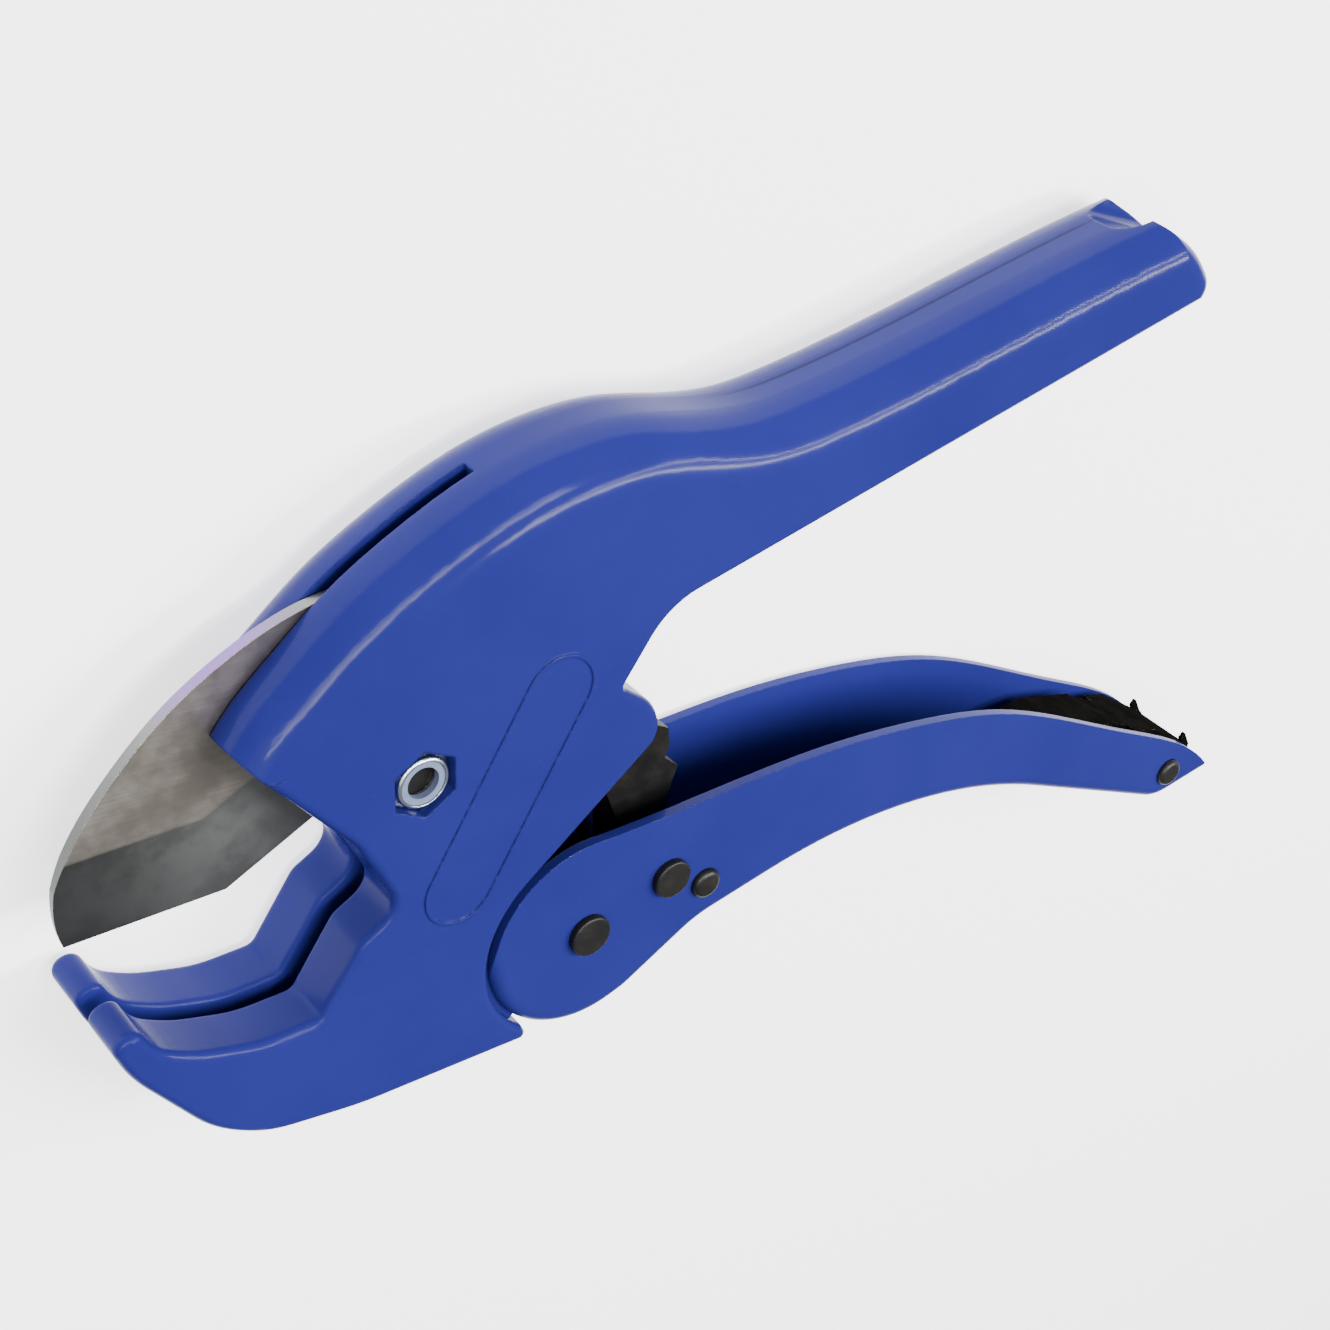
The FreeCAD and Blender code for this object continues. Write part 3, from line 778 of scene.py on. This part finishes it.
@dataclass
class Springs:
    """The wound springs inside the tool."""

    pieces: list[bpy.types.Object] = field(default_factory=list)

    def build(self, finishes: Finishes) -> None:
        """Winds each spring where its CAD sleeve stands."""
        tree = wire_tree()
        pivot, lever, pawl = middle_of("pivot_bolt"), middle_of("lever_pivot_rivet"), middle_of("pawl_rivet")
        level = {n: middle_of(n).z for n in ("blade_spring", "lever_spring", "drive_pawl_spring")}
        springs = (
            WireSpring("blade_coil", "blade_spring", Body.FRAME, (pivot.x, pivot.y, level["blade_spring"]),
                       radius=0.0069, wire=0.0009, height=0.0010, turns=1.9, first_leg=0.0015,
                       last_leg=0.0025, start_degrees=160.0, clockwise=True),
            WireSpring("lever_coil", "lever_spring", Body.LEVER, (lever.x, lever.y, level["lever_spring"]),
                       radius=0.0039, wire=0.00088, height=0.0009, turns=2.4, first_leg=0.004,
                       last_leg=0.022, start_degrees=118.0),
            WireSpring("drive_pawl_coil", "drive_pawl_spring", Body.LEVER,
                       (pawl.x, pawl.y, level["drive_pawl_spring"]),
                       radius=0.0046, wire=0.0009, height=0.0010, turns=2.2, first_leg=0.003,
                       last_leg=0.0080, start_degrees=200.0),
        )
        for spring in springs:
            self.pieces.append(spring.build(tree, finishes.spring))


# ---------------------------------------------------------------- studio
@dataclass(frozen=True)
class SoftBox:
    """Rectangular lamp that faces a target."""

    name: str
    place: Point
    size: tuple[float, float]
    watts: float
    colour: Colour = WHITE

    def build(self, target: Vector) -> None:
        """Sets the lamp up.

        Args:
            target: the point it faces.
        """
        lamp = bpy.data.lights.new(self.name, "AREA")
        lamp.shape = "RECTANGLE"
        lamp.size, lamp.size_y = self.size
        lamp.energy = self.watts
        lamp.color = self.colour
        holder = bpy.data.objects.new(self.name, lamp)
        bpy.context.collection.objects.link(holder)
        holder.location = target + Vector(self.place)
        holder.rotation_mode = "QUATERNION"
        holder.rotation_quaternion = (-Vector(self.place)).to_track_quat("-Z", "Y")


@dataclass
class Studio:
    """Camera, floor, sky and lamps."""

    eye: Point = (-0.153152, 0.279228, 0.269240)
    right: Point = (0.7947, -0.1286, 0.5932)
    up: Point = (0.4742, 0.7416, -0.4745)
    focal: float = 64.96
    floor_drop: float = 0.0002
    floor_half: float = 3.0
    floor_glow: float = 2.0
    sky_light: float = 0.30

    def camera(self) -> None:
        """Sets the camera at the tool's usual three-quarter view."""
        data = bpy.data.cameras.new("camera")
        data.lens, data.sensor_width = self.focal, 36.0
        data.clip_start, data.clip_end = 0.01, 20.0
        holder = bpy.data.objects.new("camera", data)
        bpy.context.collection.objects.link(holder)
        right = Vector(self.right).normalized()
        up = (Vector(self.up) - right * right.dot(Vector(self.up))).normalized()
        back = right.cross(up)
        turn = Matrix((right, up, back)).transposed()
        holder.matrix_world = Matrix.Translation(Vector(self.eye)) @ turn.to_4x4()
        bpy.context.scene.camera = holder

    def floor(self, low: Vector) -> None:
        """Lays the pale floor under the tool."""
        half, z = self.floor_half, low.z - self.floor_drop
        mesh = bpy.data.meshes.new("floor")
        corners = [(-half, -half, z), (half, -half, z), (half, half, z), (-half, half, z)]
        mesh.from_pydata(corners, [], [(0, 1, 2, 3)])
        plane = bpy.data.objects.new("floor", mesh)
        bpy.context.collection.objects.link(plane)
        pale = bpy.data.materials.new("pale floor")
        pale.use_nodes = True
        shader = pale.node_tree.nodes["Principled BSDF"]
        shader.inputs["Base Color"].default_value = (0.9, 0.9, 0.9, 1.0)
        shader.inputs["Roughness"].default_value = 0.9
        shader.inputs["Emission Color"].default_value = rgba(WHITE)
        shader.inputs["Emission Strength"].default_value = self.floor_glow
        mesh.materials.append(pale)

    def sky(self) -> None:
        """Even pale surroundings."""
        world = bpy.data.worlds.new("studio")
        bpy.context.scene.world = world
        world.use_nodes = True
        background = world.node_tree.nodes["Background"]
        background.inputs[0].default_value = rgba(WHITE)
        background.inputs[1].default_value = self.sky_light

    def lamps(self, target: Vector) -> None:
        """Hangs the soft boxes."""
        boxes = (
            SoftBox("dome strip", (-0.05, 0.35, 0.85), (1.0, 0.055), 10.0),
            SoftBox("dome line", (-0.05, 0.45, 0.82), (1.0, 0.020), 4.2),
            SoftBox("handle strip", (0.52, -0.03, 0.72), (0.055, 0.7), 9.2),
            SoftBox("handle line", (0.49, 0.08, 0.73), (0.022, 0.7), 4.2),
            SoftBox("front fill", (-0.60, 0.25, 0.80), (0.6, 0.6), 2.0),
        )
        for lamp in boxes:
            lamp.build(target)

    def build(self) -> None:
        """Sets the whole studio up round the tool."""
        low, high = CAD_BOX
        self.camera()
        self.floor(low)
        self.sky()
        self.lamps((low + high) / 2)


def main() -> None:
    """Builds every sub-assembly, its looks and the studio."""
    logging.basicConfig(level=logging.INFO, format="%(name)s: %(message)s")
    finishes = Finishes()
    for part in (Casting(), BladeSet(), LeverSet(), Springs()):
        part.build(finishes)
    Studio().build()


if __name__ == "__main__":
    main()
